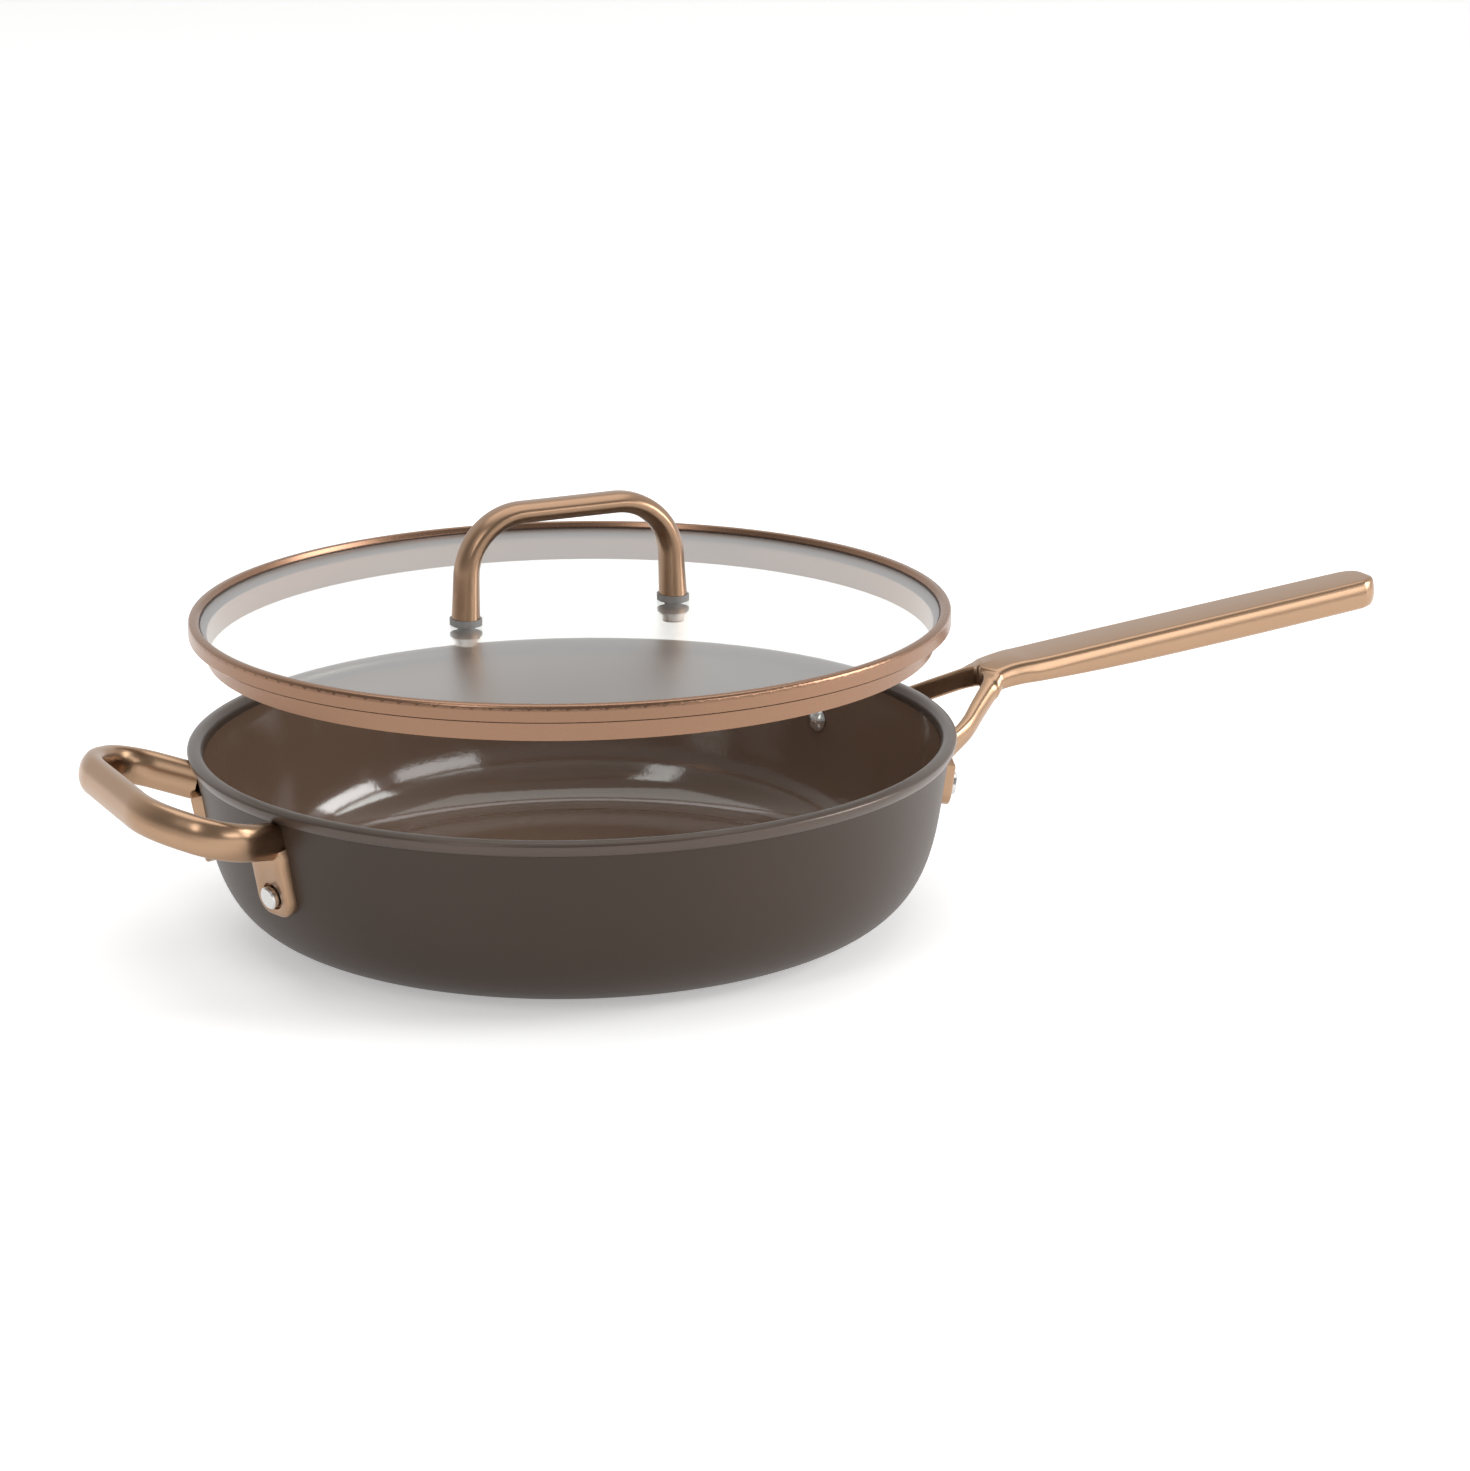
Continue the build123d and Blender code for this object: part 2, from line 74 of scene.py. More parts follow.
def turned(name, outline, body, materials, band=None):
    """A piece turned about the upright axis from its outline; band picks each stretch's material."""
    mesh = bpy.data.meshes.new(name)
    count = len(outline)
    points = []
    for step in range(turn_steps):
        angle = 2 * math.pi * step / turn_steps
        for radius, height in outline:
            points.append((radius * MM * math.cos(angle), radius * MM * math.sin(angle),
                           height * MM))
    faces = []
    owners = []
    for step in range(turn_steps):
        here = step * count
        there = ((step + 1) % turn_steps) * count
        for k in range(count):
            after = (k + 1) % count
            faces.append((here + k, there + k, there + after, here + after))
            owners.append(band(k) if band else 0)
    mesh.from_pydata(points, [], faces)
    mesh.polygons.foreach_set("material_index", owners)
    mesh.polygons.foreach_set("use_smooth", [True] * len(faces))
    work = bmesh.new()
    work.from_mesh(mesh)
    bmesh.ops.remove_doubles(work, verts=work.verts, dist=1e-6)
    bmesh.ops.recalc_face_normals(work, faces=work.faces)
    work.to_mesh(mesh)
    work.free()
    mesh.set_sharp_from_angle(angle=math.radians(sharp_over))
    piece = bpy.data.objects.new(name, mesh)
    bpy.context.scene.collection.objects.link(piece)
    for material in materials:
        mesh.materials.append(material)
    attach(piece, body)
    return piece


grain_depth = 0.0002


def surface(name, dark, light, metal, rough, rough_spread, grain_size, grain_bump,
            patch_size=18.0, mirror_level=0.5):
    """A surface with two close tones in soft patches, uneven gloss and a fine grain."""
    material = bpy.data.materials.new(name)
    material.use_nodes = True
    tree = material.node_tree
    shader = tree.nodes["Principled BSDF"]
    shader.inputs["Metallic"].default_value = metal
    shader.inputs["Specular IOR Level"].default_value = mirror_level
    place = tree.nodes.new("ShaderNodeTexCoord")
    patches = tree.nodes.new("ShaderNodeTexNoise")
    patches.inputs["Scale"].default_value = patch_size
    patches.inputs["Detail"].default_value = 5
    tree.links.new(place.outputs["Object"], patches.inputs["Vector"])
    tones = tree.nodes.new("ShaderNodeMix")
    tones.data_type = "RGBA"
    tones.inputs["A"].default_value = (*dark, 1)
    tones.inputs["B"].default_value = (*light, 1)
    tree.links.new(patches.outputs["Fac"], tones.inputs["Factor"])
    tree.links.new(tones.outputs["Result"], shader.inputs["Base Color"])
    grain = tree.nodes.new("ShaderNodeTexNoise")
    grain.inputs["Scale"].default_value = grain_size
    grain.inputs["Detail"].default_value = 3
    tree.links.new(place.outputs["Object"], grain.inputs["Vector"])
    gloss = tree.nodes.new("ShaderNodeMapRange")
    gloss.inputs["To Min"].default_value = rough - rough_spread
    gloss.inputs["To Max"].default_value = rough + rough_spread
    tree.links.new(grain.outputs["Fac"], gloss.inputs["Value"])
    tree.links.new(gloss.outputs["Result"], shader.inputs["Roughness"])
    bump = tree.nodes.new("ShaderNodeBump")
    bump.inputs["Strength"].default_value = grain_bump
    bump.inputs["Distance"].default_value = grain_depth
    tree.links.new(grain.outputs["Fac"], bump.inputs["Height"])
    tree.links.new(bump.outputs["Normal"], shader.inputs["Normal"])
    return material


outside_coat = surface(
    "pan_outside_coating", (0.043, 0.027, 0.018), (0.052, 0.033, 0.023), 0.15, 0.42, 0.05, 2400, 0.04,
    mirror_level=0.36)
inside_coat = surface(
    "pan_inside_coating", (0.150, 0.094, 0.065), (0.172, 0.108, 0.076), 0.0, 0.11, 0.02, 420, 0.16,
    mirror_level=1.0)
# The lip is a more metallic copy of the outside coating. Its lighter colour is a painted highlight
# along the rolled lip.
lip_painted_highlight_coat = surface(
    "pan_lip_painted_highlight", (0.085, 0.062, 0.050), (0.105, 0.078, 0.063), 0.45, 0.30, 0.04, 1800, 0.03)

base_edge = (base_radius - base_edge_inset, 0.0)
pan_line = [(seat_radius, 0.0), base_edge]
pan_line += curve(base_edge, wall_low_pull, wall_high_pull, wall_top, 40)
lip_start = len(pan_line)
pan_line += [(138.6, 62.9), (139.5, 64.3), lip_outer]
pan_line += curve(lip_outer, (rim_radius, 67.3), (138.5, pan_height), crest, 7)
pan_line += curve(crest, (134.7, pan_height), (134.0, 65.8), (134.0, 63.2), 7)
lip_end = len(pan_line)
pan_line += [inner_wall_top]
pan_line += curve(inner_wall_top, (126.5, 28.5), (129.0, 11.5), cooking_floor, 36)
pan_line += [(radius, cooking_floor[1]) for radius in (cooking_floor[0] - 1.0, 60, 20, 0)]
inner_end = len(pan_line)
pan_line += [(0, seat_depth), (seat_radius, seat_depth)]


def pan_band(k):
    """0 is the outside coating, 1 the inside coating and 2 the lip, whose lighter colour is a painted
    highlight.
    """
    if lip_start - 1 <= k < lip_end - 1:
        return 2
    if lip_end - 1 <= k < inner_end - 1:
        return 1
    return 0


pan = turned("pan_shell", pan_line, "pan",
             [outside_coat, inside_coat, lip_painted_highlight_coat], band=pan_band)
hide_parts("pan_body")

# ==== Base plate ====
# A thin steel plate pressed into the underside for induction hobs, with a spun finish
# of fine rings left by the tool that faced it.
plate_radius = 86.0
plate_thickness = 1.2
plate_edge = 0.4
ring_gap = 5.0
ring_width = 1.0
ring_depth = 0.12
plate_line = [(0, 0.0)]
ring = 6.0
while ring < plate_radius - 2:
    plate_line += [(ring, 0.0), (ring + ring_width / 2, ring_depth), (ring + ring_width, 0.0)]
    ring += ring_gap
plate_line += [(plate_radius - plate_edge, 0.0), (plate_radius, plate_edge),
               (plate_radius, plate_thickness), (0, plate_thickness)]
plate_steel = surface(
    "base_plate_steel", (0.42, 0.41, 0.40), (0.52, 0.51, 0.50), 1.0, 0.30, 0.06, 900, 0.08)
plate = turned("base_plate", plate_line, "pan", [plate_steel])
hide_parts("base_disc")

# ==== Long handle ====
# Cast metal with a satin copper tone: two arms that come together in a flat-topped bar
# with softly rounded edges. One rivet through the tab at the end of each arm holds it.
copper = surface(
    "handle_copper_tone", (0.39, 0.25, 0.158), (0.43, 0.275, 0.175), 1.0, 0.28, 0.012, 1500, 0.004)
bar_slope = 0.0963
fork_x = 188.0
fork_ridge_height = 69.7
bar_top_rise = 5.8
tip_x = 341.0
tip_corner = 10.0
tip_half = 11.2
splay = math.radians(41.2)
crotch_x = 174.4
crotch_round = 13.0
arm_depth = 8.2
arm_top = 75.0
arm_fall = 0.405
wrap_thickness = 4.2
bar_under = 5.7
edge_round = 4.0
parts_between = 6


def bar_station(x, half, below, shrink=0.0):
    """One station along the bar: its middle, its side, and its top, ridge and underside heights."""
    ridge = fork_ridge_height + (x - fork_x) * bar_slope
    return (x, 0.0), (x, half), ridge + bar_top_rise - shrink, ridge, ridge - below + shrink


def arm_station(inner, outer, run):
    """One station along an arm, this far out from where the arms meet."""
    high = arm_top - arm_fall * run
    return inner, outer, high, high - arm_depth / 2, high - arm_depth


def straight_arm(run, width):
    """A station on the straight part of an arm."""
    inner = (crotch_x - run * math.cos(splay), run * math.sin(splay))
    outer = (inner[0] + width * math.sin(splay), inner[1] + width * math.cos(splay))
    return arm_station(inner, outer, run)


def wrap_station(angle, radius, high):
    """A station at the end of an arm, where it lies along the wall."""
    turn = math.radians(angle)
    inner = (radius * math.cos(turn), radius * math.sin(turn))
    far = radius + wrap_thickness
    outer = (far * math.cos(turn), far * math.sin(turn))
    return inner, outer, high, high - arm_depth / 2, high - arm_depth


crotch_middle = crotch_x - crotch_round / math.sin(splay)
tip_stations = []
for back in (0.0, 0.3, 0.9, 2.0, 3.6, 5.6, 7.8, tip_corner):
    lean = math.sqrt(max(tip_corner ** 2 - (tip_corner - back) ** 2, 0.0))
    flat = edge_round - min(back, edge_round)
    drop = edge_round - math.sqrt(max(edge_round ** 2 - flat ** 2, 0.0))
    half = tip_half - tip_corner + lean
    tip_stations.append(bar_station(tip_x - back, half, bar_under, 0.75 * drop))
stations = tip_stations + [
    bar_station(315, 11.5, bar_under),
    bar_station(280, 11.8, bar_under),
    bar_station(240, 12.1, 5.3),
    bar_station(212, 12.3, 4.5),
    bar_station(190, 12.2, 3.4),
    ((181.0, 0.0), (183.0, 11.7), 75.2, 69.9, 66.1),
    ((174.0, 0.0), (177.0, 11.2), 74.3, 69.2, 65.4),
    ((crotch_middle + crotch_round, 0.0), (172.6, 11.5), 73.0, 68.4, 64.6),
]
for angle, outer, run in ((16, (171.0, 12.5), 8.3), (32, (169.3, 13.7), 11.3)):
    turn = math.radians(angle)
    inner = (crotch_middle + crotch_round * math.cos(turn), crotch_round * math.sin(turn))
    stations.append(arm_station(inner, outer, run))
stations += [
    straight_arm(14.8, 6.2),
    straight_arm(25, 5.6),
    straight_arm(36, 5.0),
    wrap_station(14.6, 137.2, 55.2),
    wrap_station(18.5, 136.4, 54.0),
    wrap_station(23.6, 134.9, 53.0),
]
first_arm = len(tip_stations) + 7


def between(a, b, c, d, t):
    """The value at share t of the way from b to c, on a smooth run through all four."""
    return b + 0.5 * t * (c - a + t * (2 * a - 5 * b + 4 * c - d + t * (3 * (b - c) + d - a)))


def flat_list(station):
    """A station's numbers in one list."""
    inner, outer, high, ridge, low = station
    return [*inner, *outer, high, ridge, low]


def smooth_stations(rows, parts):
    """The same stations with smooth ones put in between."""
    result = []
    for i in range(len(rows) - 1):
        near = [flat_list(rows[max(0, min(len(rows) - 1, k))])
                for k in (i - 1, i, i + 1, i + 2)]
        for part in range(parts):
            result.append([between(*column, part / parts) for column in zip(*near)])
    result.append(flat_list(rows[-1]))
    return result


def soft_corner(before, corner, after, radius, count=5):
    """Points round one corner of a section."""
    corner = Vector(corner)
    way_in = Vector(before) - corner
    way_out = Vector(after) - corner
    reach = min(radius, 0.45 * way_in.length, 0.45 * way_out.length)
    start = corner + way_in.normalized() * reach
    end = corner + way_out.normalized() * reach
    points = []
    for k in range(count):
        t = k / (count - 1)
        points.append((1 - t) ** 2 * start + 2 * t * (1 - t) * corner + t * t * end)
    return points


def handle_half(sign):
    """Points and faces of one half of the long handle."""
    rows = smooth_stations(stations, parts_between)
    arm_from = first_arm * parts_between
    points = []
    faces = []
    count = 0
    for index, (ix, iy, ox, oy, high, ridge, low) in enumerate(rows):
        across = Vector((ox - ix, oy - iy))
        width = across.length
        bevel = min(1.75, 0.28 * width)
        ring = [(0, low), (0, high), (width - bevel, high), (width, ridge),
                (width - 0.8 * bevel, low)]
        inside_round = 1.3 if index >= arm_from else 0.0
        section = []
        for k, radius in ((1, inside_round), (2, 2.0), (3, 3.2), (4, 2.6), (0, inside_round)):
            section += soft_corner(ring[k - 1], ring[k], ring[(k + 1) % 5], radius)
        count = len(section)
        for along, up in section:
            x = ix + across.x / width * along
            y = iy + across.y / width * along
            points.append((x * MM, sign * y * MM, up * MM))
    for row in range(len(rows) - 1):
        last = count if row >= arm_from else count - 1
        for k in range(last):
            after = (k + 1) % count
            face = (row * count + k, row * count + after,
                    (row + 1) * count + after, (row + 1) * count + k)
            faces.append(face if sign > 0 else face[::-1])
    tip = tuple(range(count))
    end = tuple((len(rows) - 1) * count + k for k in range(count))
    faces.append(tip[::-1] if sign > 0 else tip)
    faces.append(end if sign > 0 else end[::-1])
    return points, faces


def wall_spot(angle, height):
    """Where a rivet goes through the wall: the spot, and its across, up and outward directions."""
    foot = (base_radius, 0.0)
    samples = [foot] + curve(foot, wall_low_pull, wall_high_pull, wall_top, 400)
    at = min(range(1, len(samples) - 1), key=lambda k: abs(samples[k][1] - height))
    run = Vector(samples[at + 1]) - Vector(samples[at - 1])
    run.normalize()
    turn = math.radians(angle)
    out = Vector((run.y * math.cos(turn), run.y * math.sin(turn), -run.x))
    across = Vector((-math.sin(turn), math.cos(turn), 0))
    radius, height = samples[at]
    centre = Vector((radius * math.cos(turn), radius * math.sin(turn), height))
    return centre, across, out.cross(across), out


tab_width = 18.0
tab_corner = 6.0
tab_root = 2.5
well_radius = 4.9
well_depth = 1.6
well_floor_radius = 2.0


def tab(spot, width, thickness, drop, climb):
    """Points and faces of a riveted tab with round lower corners and a well for the rivet."""
    centre, across, up, out = spot
    steps = 72
    outline = []
    for k in range(steps):
        turn = 2 * math.pi * k / steps
        way = (math.cos(turn), math.sin(turn))
        reach = min(width / 2 / max(abs(way[0]), 1e-6),
                    (climb if way[1] > 0 else drop) / max(abs(way[1]), 1e-6))
        u, v = way[0] * reach, way[1] * reach
        corner = (math.copysign(width / 2 - tab_corner, u), tab_corner - drop)
        if v < corner[1] and abs(u) > abs(corner[0]):
            away = Vector((u - corner[0], v - corner[1]))
            if away.length > tab_corner:
                away = away.normalized() * tab_corner
                u, v = corner[0] + away.x, corner[1] + away.y
        outline.append((u, v, turn))
    layers = ((1.0, None, -tab_root), (1.0, None, thickness - 0.8),
              (0.965, None, thickness - 0.22), (0.91, None, thickness),
              (None, well_radius + 0.4, thickness), (None, well_radius + 0.1, thickness - 0.15),
              (None, well_radius, thickness - 0.5), (None, well_radius, thickness - well_depth),
              (None, well_floor_radius, thickness - well_depth))
    points = []
    faces = []
    for share, radius, height in layers:
        for u, v, turn in outline:
            if radius is not None:
                u, v = radius * math.cos(turn), radius * math.sin(turn)
                share = 1.0
            place = centre + across * (u * share) + up * (v * share) + out * height
            points.append(tuple(place * MM))
    for layer in range(len(layers) - 1):
        for k in range(steps):
            after = (k + 1) % steps
            faces.append((layer * steps + k, layer * steps + after,
                          (layer + 1) * steps + after, (layer + 1) * steps + k))
    return points, faces


def joined_piece(name, chunks, body, material):
    """One object from several lists of points and faces."""
    points = []
    faces = []
    for more_points, more_faces in chunks:
        base = len(points)
        points += more_points
        faces += [tuple(base + k for k in face) for face in more_faces]
    mesh = bpy.data.meshes.new(name)
    mesh.from_pydata(points, [], faces)
    work = bmesh.new()
    work.from_mesh(mesh)
    bmesh.ops.remove_doubles(work, verts=work.verts, dist=2e-6)
    bmesh.ops.recalc_face_normals(work, faces=work.faces)
    work.to_mesh(mesh)
    work.free()
    mesh.polygons.foreach_set("use_smooth", [True] * len(mesh.polygons))
    mesh.set_sharp_from_angle(angle=math.radians(48))
    mesh.materials.append(material)
    piece = bpy.data.objects.new(name, mesh)
    bpy.context.scene.collection.objects.link(piece)
    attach(piece, body)
    return piece


long_rivet_height = 45.0
long_rivet_angle = 21.0
long_tabs = [tab(wall_spot(angle, long_rivet_height), tab_width, 3.6, 7.2, 9.5)
             for angle in (long_rivet_angle, -long_rivet_angle)]
handle_bar = joined_piece("long_handle_casting", [handle_half(1), handle_half(-1)], "pan",
                          copper)
joined_piece("long_handle_tabs", long_tabs, "pan", copper)
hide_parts("long_handle")

# ==== Helper handle ====
# A satin copper-toned loop with a softly rounded section, cast in one with its two riveted
# tabs. It rises a little on its way out from the wall.
loop_root = Vector((-129.0, 0.0, 55.0))
loop_reach = 44.8
loop_rise_height = 12.5
loop_tilt = math.atan2(loop_rise_height, loop_reach)
loop_length = loop_reach / math.cos(loop_tilt)
loop_corners = [(0.5, 41.3), (18.5, 53.6), (30.5, 53.6), (loop_length, 36.0), (loop_length, 0.0)]
loop_rounds = [17.0, 14.0, 34.0]
helper_rivet_height = 35.0
helper_rivet_angle = 16.2


def rounded_path(corners, rounds, gap):
    """Points along a line of corners, each with its own rounding, about one gap apart."""
    corners = [Vector(corner) for corner in corners]
    bends = []
    for k, radius in enumerate(rounds, start=1):
        way_in = (corners[k - 1] - corners[k]).normalized()
        way_out = (corners[k + 1] - corners[k]).normalized()
        half = way_in.angle(way_out) / 2
        reach = radius / math.tan(half)
        middle = corners[k] + (way_in + way_out).normalized() * radius / math.sin(half)
        bends.append((corners[k] + way_in * reach, middle, corners[k] + way_out * reach, radius))
    points = [corners[0]]
    for start, middle, end, radius in bends:
        steps = max(1, round((start - points[-1]).length / gap))
        origin = points[-1]
        points += [origin.lerp(start, k / steps) for k in range(1, steps + 1)]
        sweep = (start - middle).angle(end - middle)
        steps = max(2, round(sweep * radius / gap))
        for k in range(1, steps + 1):
            share = k / steps
            away = (start - middle) * math.sin((1 - share) * sweep)
            away += (end - middle) * math.sin(share * sweep)
            points.append(middle + away / math.sin(sweep))
    steps = max(1, round((corners[-1] - points[-1]).length / gap))
    origin = points[-1]
    points += [origin.lerp(corners[-1], k / steps) for k in range(1, steps + 1)]
    return points


def swept(path, section, rise):
    """Points and faces of a section carried along a flat path; rise points out of its plane."""
    points = []
    faces = []
    count = len(section(0))
    for k, here in enumerate(path):
        run = (path[min(k + 1, len(path) - 1)] - path[max(k - 1, 0)]).normalized()
        side = run.cross(rise).normalized()
        for u, v in section(k / (len(path) - 1)):
            points.append(tuple((here + side * u + rise * v) * MM))
    for k in range(len(path) - 1):
        for j in range(count):
            after = (j + 1) % count
            faces.append((k * count + j, k * count + after,
                          (k + 1) * count + after, (k + 1) * count + j))
    faces.append(tuple(range(count))[::-1])
    faces.append(tuple((len(path) - 1) * count + j for j in range(count)))
    return points, faces


def soft_ring(corners, rounds):
    """A closed section with every corner rounded."""
    ring = []
    for k, radius in enumerate(rounds):
        ring += [tuple(p) for p in soft_corner(
            corners[k - 1], corners[k], corners[(k + 1) % len(corners)], radius, 6)]
    return ring


loop_ring = soft_ring(
    [(-2.3, 6.7), (2.3, 6.7), (4.5, 2.4), (4.2, -3.0),
     (2.0, -6.7), (-2.0, -6.7), (-4.2, -3.0), (-4.5, 2.4)],
    [2.0, 2.0, 3.5, 3.5, 2.2, 2.2, 3.5, 3.5])
loop_out = Vector((-math.cos(loop_tilt), 0, math.sin(loop_tilt)))
loop_rise = Vector((math.sin(loop_tilt), 0, math.cos(loop_tilt)))
half_path = [loop_root + loop_out * p.x + Vector((0, -p.y, 0))
             for p in rounded_path(loop_corners, loop_rounds, 1.6)]
whole_path = half_path + [Vector((p.x, -p.y, p.z)) for p in reversed(half_path[:-1])]
helper_tabs = [tab(wall_spot(angle, helper_rivet_height), tab_width, 3.2, 7.6, 18.5)
               for angle in (180 + helper_rivet_angle, 180 - helper_rivet_angle)]
helper_loop = joined_piece(
    "helper_handle_loop", [swept(whole_path, lambda share: loop_ring, loop_rise)],
    "pan", copper)
joined_piece("helper_handle_tabs", helper_tabs, "pan", copper)
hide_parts("helper_handle")

# ==== Rivets ====
# Plain metal rivets, two to each handle. The flat-faced head sits in the well of the tab,
# and the domed head stands proud inside the pan.
rivet_metal = surface(
    "rivet_metal", (0.66, 0.65, 0.64), (0.74, 0.73, 0.72), 1.0, 0.24, 0.04, 2200, 0.05)
for name in ("long_handle_rivet_front", "long_handle_rivet_back",
             "helper_handle_rivet_front", "helper_handle_rivet_back"):
    nodes[name].data.materials.clear()
    nodes[name].data.materials.append(rivet_metal)

# ==== Lid rim ====
# Sheet metal rolled over the edge of the glass, with a satin copper tone. A flange below
# sits inside the pan's lip and keeps the lid in place.
rim_copper = surface(
    "lid_rim_copper_tone", (0.28, 0.162, 0.104), (0.31, 0.18, 0.118), 1.0, 0.27, 0.012, 1500, 0.003)
nodes["lid_rim"].data.materials.clear()
nodes["lid_rim"].data.materials.append(rim_copper)

# ==== Lid rim gasket ====
# A dark brown silicone seal, pinched between the rolled rim and the edge of the glass.
# Only a fine dark line of it shows.
gasket_rubber = surface(
    "gasket_silicone", (0.045, 0.025, 0.018), (0.06, 0.034, 0.025), 0.0, 0.5, 0.05, 1400, 0.1)
nodes["lid_rim_gasket"].data.materials.clear()
nodes["lid_rim_gasket"].data.materials.append(gasket_rubber)

# ==== Lid glass ====
# A flat disc of clear tempered glass, held by the rim all the way round. It mirrors its
# surroundings more and more at a low angle.
glass = bpy.data.materials.new("lid_clear_glass")
glass.use_nodes = True
tree = glass.node_tree
tree.nodes.clear()
glass_out = tree.nodes.new("ShaderNodeOutputMaterial")
see_through = tree.nodes.new("ShaderNodeBsdfTransparent")
see_through.inputs["Color"].default_value = (0.935, 0.945, 0.935, 1)
shine = tree.nodes.new("ShaderNodeBsdfAnisotropic")
shine.inputs["Color"].default_value = (1, 1, 1, 1)
shine.inputs["Roughness"].default_value = 0.30
edge_on = tree.nodes.new("ShaderNodeFresnel")
edge_on.inputs["IOR"].default_value = 1.5
facing = tree.nodes.new("ShaderNodeNewGeometry")
front_only = tree.nodes.new("ShaderNodeMath")
front_only.operation = "SUBTRACT"
front_only.inputs[0].default_value = 1.0
tree.links.new(facing.outputs["Backfacing"], front_only.inputs[1])
both_faces = tree.nodes.new("ShaderNodeMapRange")
both_faces.inputs["From Max"].default_value = 0.62
both_faces.clamp = True
tree.links.new(edge_on.outputs["Fac"], both_faces.inputs["Value"])
share = tree.nodes.new("ShaderNodeMath")
share.operation = "MULTIPLY"
tree.links.new(both_faces.outputs["Result"], share.inputs[0])
tree.links.new(front_only.outputs["Value"], share.inputs[1])
smear = tree.nodes.new("ShaderNodeTexNoise")
smear.inputs["Scale"].default_value = 9.0
smear_bump = tree.nodes.new("ShaderNodeBump")
smear_bump.inputs["Strength"].default_value = 0.01
smear_bump.inputs["Distance"].default_value = 0.0002
tree.links.new(smear.outputs["Fac"], smear_bump.inputs["Height"])
tree.links.new(smear_bump.outputs["Normal"], shine.inputs["Normal"])
joined = tree.nodes.new("ShaderNodeMixShader")
tree.links.new(share.outputs["Value"], joined.inputs["Fac"])
tree.links.new(see_through.outputs["BSDF"], joined.inputs[1])
tree.links.new(shine.outputs["BSDF"], joined.inputs[2])
tree.links.new(joined.outputs["Shader"], glass_out.inputs["Surface"])
nodes["lid_glass"].data.materials.clear()
nodes["lid_glass"].data.materials.append(glass)

# ==== Lid handle ====
# A bevelled metal arch with a satin copper tone, a little thicker towards its feet.
# One screw up through the glass into each foot holds it.
arch_copper = surface(
    "lid_handle_copper_tone", (0.34, 0.215, 0.135), (0.38, 0.24, 0.155), 1.0, 0.31, 0.015, 1600, 0.006)
glass_top = 113.1
upper_seal_height = 2.4
arch_height = 42.8
arch_half_thickness = 3.9
foot_out = 40.75
shoulder_out = 39.3
arch_round = 22.0
foot_low = glass_top + upper_seal_height
arch_high = glass_top + arch_height - arch_half_thickness
arch_corners = [(-foot_out, foot_low), (-shoulder_out, arch_high),
                (shoulder_out, arch_high), (foot_out, foot_low)]
arch_path = [Vector((p.x, 0, p.y))
             for p in rounded_path(arch_corners, [arch_round, arch_round], 1.5)]


def arch_section(share):
    """The arch is thicker towards its feet, with a ridge along the middle of each side."""
    foot = abs(2 * share - 1) ** 3
    half = 3.75 + 1.2 * foot
    flat = 3.0 - 0.5 * foot
    return soft_ring(
        [(half, -flat), (half, flat), (0.35 * half, 6.0), (-0.35 * half, 6.0),
         (-half, flat), (-half, -flat), (-0.35 * half, -6.0), (0.35 * half, -6.0)],
        [2.4, 2.4, 1.8, 1.8, 2.4, 2.4, 1.8, 1.8])


arch = joined_piece("lid_handle_arch", [swept(arch_path, arch_section, Vector((0, 1, 0)))],
                    "lid", arch_copper)
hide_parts("lid_handle")

# ==== Seals, washers and screws ====
# Under each foot of the lid handle, grey silicone seals above and below the glass, then
# a plain steel washer and a screw.
grey_seal = surface(
    "grey_silicone_seal", (0.22, 0.21, 0.205), (0.28, 0.27, 0.26), 0.0, 0.55, 0.05, 1300, 0.12)
screw_steel = surface(
    "screw_steel", (0.60, 0.60, 0.60), (0.70, 0.70, 0.70), 1.0, 0.25, 0.05, 2000, 0.06)
for side in ("left", "right"):
    for kind, material, slot in (
        ("upper_seal", grey_seal, "grey_silicone"),
        ("lower_seal", grey_seal, "grey_silicone"),
        ("washer", screw_steel, "screw_steel"),
        ("screw", screw_steel, "screw_steel"),
    ):
        piece = nodes[f"lid_{kind}_{side}"]
        piece.data.materials.clear()
        piece.data.materials.append(material)

# ==== Floor ====
# A plain, very pale studio floor that runs far past the pan. It gives off a little light
# of its own, which keeps it pale all the way out.
floor_half = 14.0
floor_gap = 0.0002
floor_glow = 0.38
floor_mesh = bpy.data.meshes.new("studio_floor")
floor_mesh.from_pydata(
    [(-floor_half, -floor_half, 0), (floor_half, -floor_half, 0),
     (floor_half, floor_half, 0), (-floor_half, floor_half, 0)], [], [(0, 1, 2, 3)])
floor = bpy.data.objects.new("studio_floor", floor_mesh)
bpy.context.scene.collection.objects.link(floor)
floor.location.z = -floor_gap
floor_paint = surface(
    "floor_paint", (0.90, 0.90, 0.90), (0.92, 0.92, 0.92), 0.0, 0.8, 0.03, 60, 0.0, patch_size=2.0)
floor_shader = floor_paint.node_tree.nodes["Principled BSDF"]
floor_shader.inputs["Emission Color"].default_value = (1, 1, 1, 1)
floor_shader.inputs["Emission Strength"].default_value = floor_glow
floor_mesh.materials.append(floor_paint)

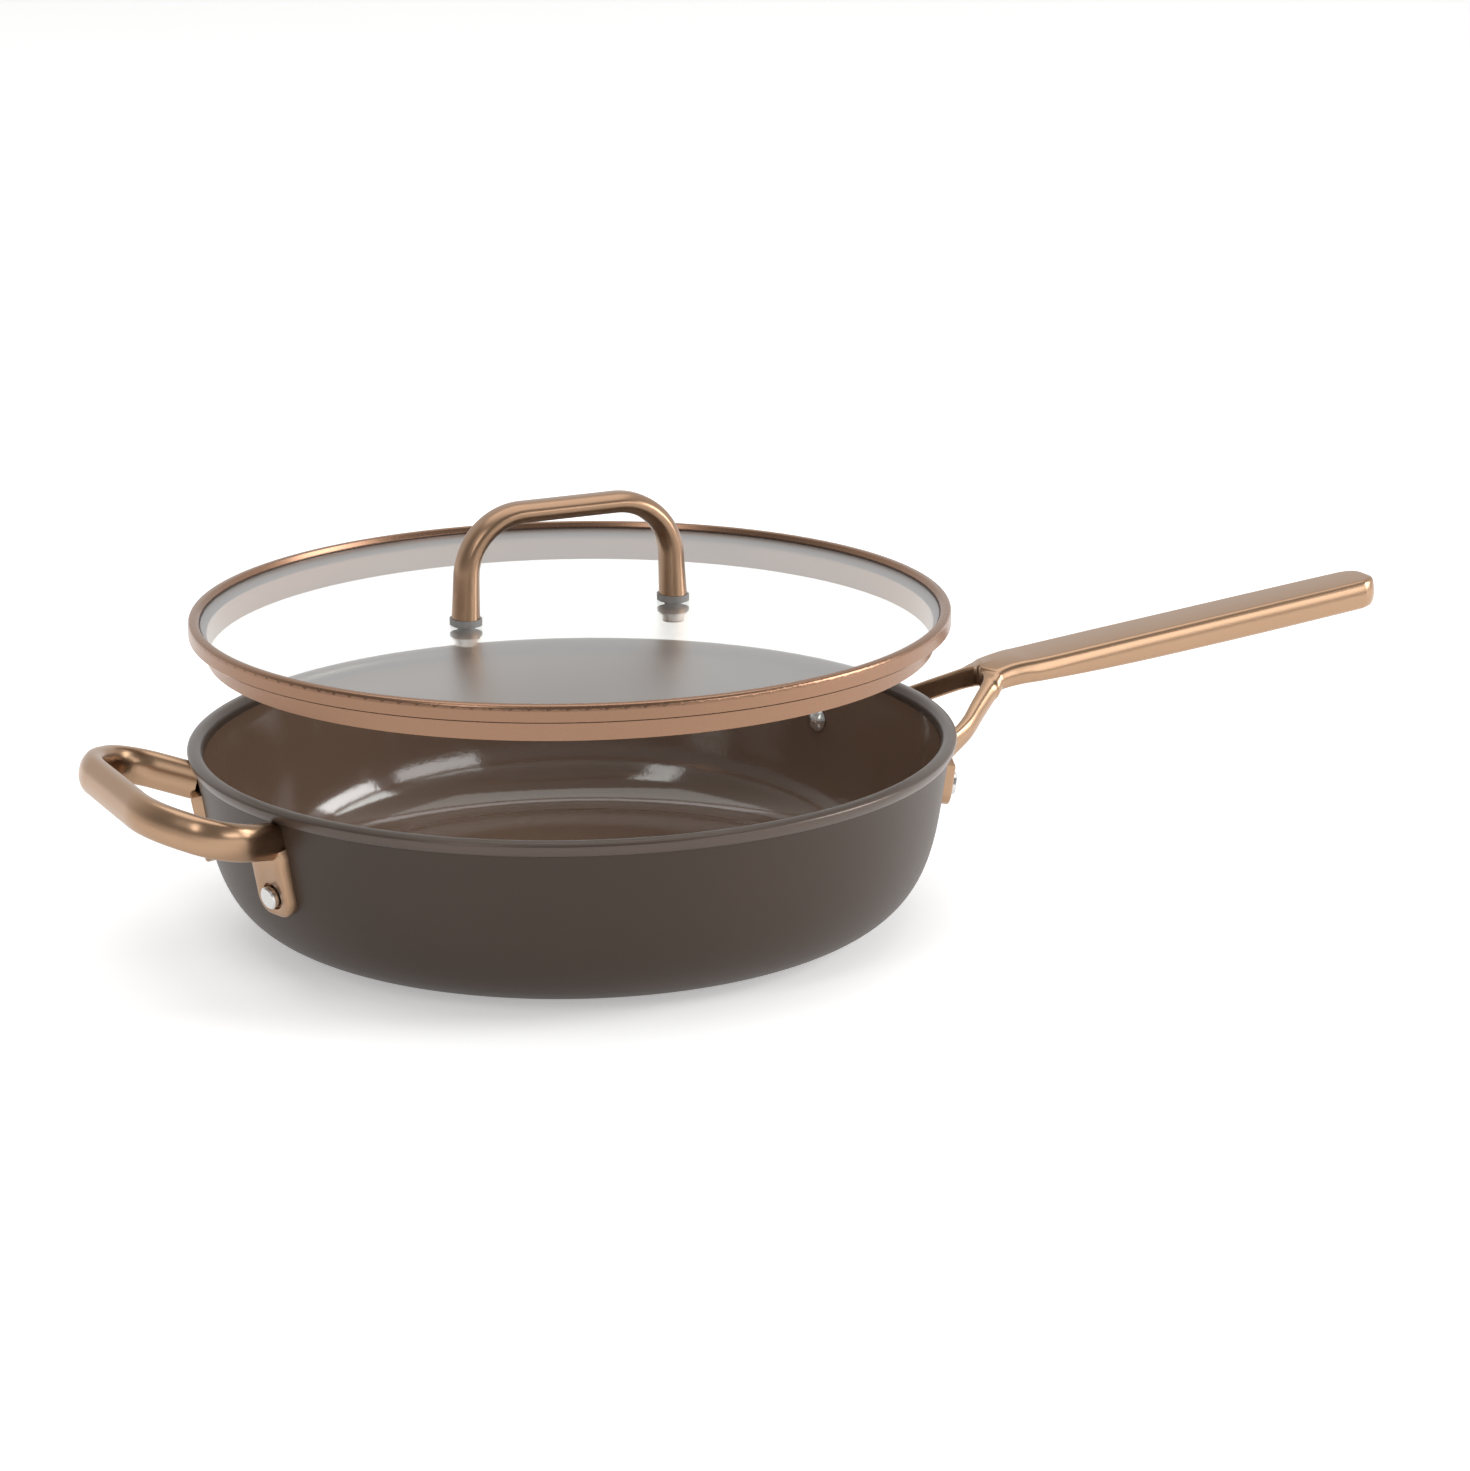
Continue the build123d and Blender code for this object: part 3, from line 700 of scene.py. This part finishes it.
# ==== Light ====
# A bright backdrop behind the pan, a dim room in front of it, and four soft boxes: one
# overhead, one on each side and one in front.
back_way = (0.4226, 0.9063, 0.0)
room_strength = 0.30
backdrop_strength = 0.88
world = bpy.data.worlds.new("studio")
bpy.context.scene.world = world
world.use_nodes = True
tree = world.node_tree
place = tree.nodes.new("ShaderNodeTexCoord")
along = tree.nodes.new("ShaderNodeVectorMath")
along.operation = "DOT_PRODUCT"
along.inputs[1].default_value = back_way
tree.links.new(place.outputs["Generated"], along.inputs[0])
fade = tree.nodes.new("ShaderNodeMapRange")
fade.inputs["From Min"].default_value = -0.35
fade.inputs["From Max"].default_value = 0.75
fade.inputs["To Min"].default_value = room_strength
fade.inputs["To Max"].default_value = backdrop_strength
fade.interpolation_type = "SMOOTHSTEP"
tree.links.new(along.outputs["Value"], fade.inputs["Value"])
tree.nodes["Background"].inputs["Color"].default_value = (1.0, 0.995, 0.985, 1)
tree.links.new(fade.outputs["Result"], tree.nodes["Background"].inputs["Strength"])


def soft_box(name, place, aim, width, height, power):
    """A rectangular soft box at a place, aimed at a point."""
    lamp = bpy.data.lights.new(name, "AREA")
    lamp.shape = "RECTANGLE"
    lamp.size = width
    lamp.size_y = height
    lamp.energy = power
    box = bpy.data.objects.new(name, lamp)
    bpy.context.scene.collection.objects.link(box)
    box.location = place
    box.rotation_euler = (Vector(aim) - Vector(place)).to_track_quat("-Z", "Y").to_euler()


soft_box("overhead_box", (0.1, 0.3, 2.4), (0, 0, 0), 2.6, 2.0, 22)
soft_box("right_box", (2.2, -1.0, 1.0), (0, 0, 0.05), 1.2, 1.2, 34)
soft_box("front_box", (1.35, -2.7, 0.98), (0.1, 0, 0.06), 1.7, 0.75, 14)
soft_box("left_box", (-1.7, -1.1, 1.5), (0, 0, 0.05), 0.5, 1.1, 7)

# ==== Camera ====
# A long lens a little above the rim, in front of the pan and to the left of its long
# handle, rolled by half a degree.
camera_spot = Vector((-0.64405, -1.5212, 0.5274))
camera_way = Vector((0.4070, 0.8729, -0.2692))
level_way = Vector((0.9063, -0.4226, 0.0))
roll = math.radians(-0.52)
camera_data = bpy.data.cameras.new("camera")
camera_data.sensor_width = 36.0
camera_data.lens = 115.0
camera_data.clip_end = 100
camera = bpy.data.objects.new("camera", camera_data)
bpy.context.scene.collection.objects.link(camera)
ahead = camera_way.normalized()
level = level_way.normalized()
upward = level.cross(ahead).normalized()
right = level * math.cos(roll) + upward * math.sin(roll)
top = upward * math.cos(roll) - level * math.sin(roll)
turned_to = Matrix((right, top, -ahead)).transposed().to_4x4()
camera.matrix_world = Matrix.Translation(camera_spot) @ turned_to
bpy.context.scene.camera = camera
bpy.context.scene.view_settings.view_transform = "Standard"
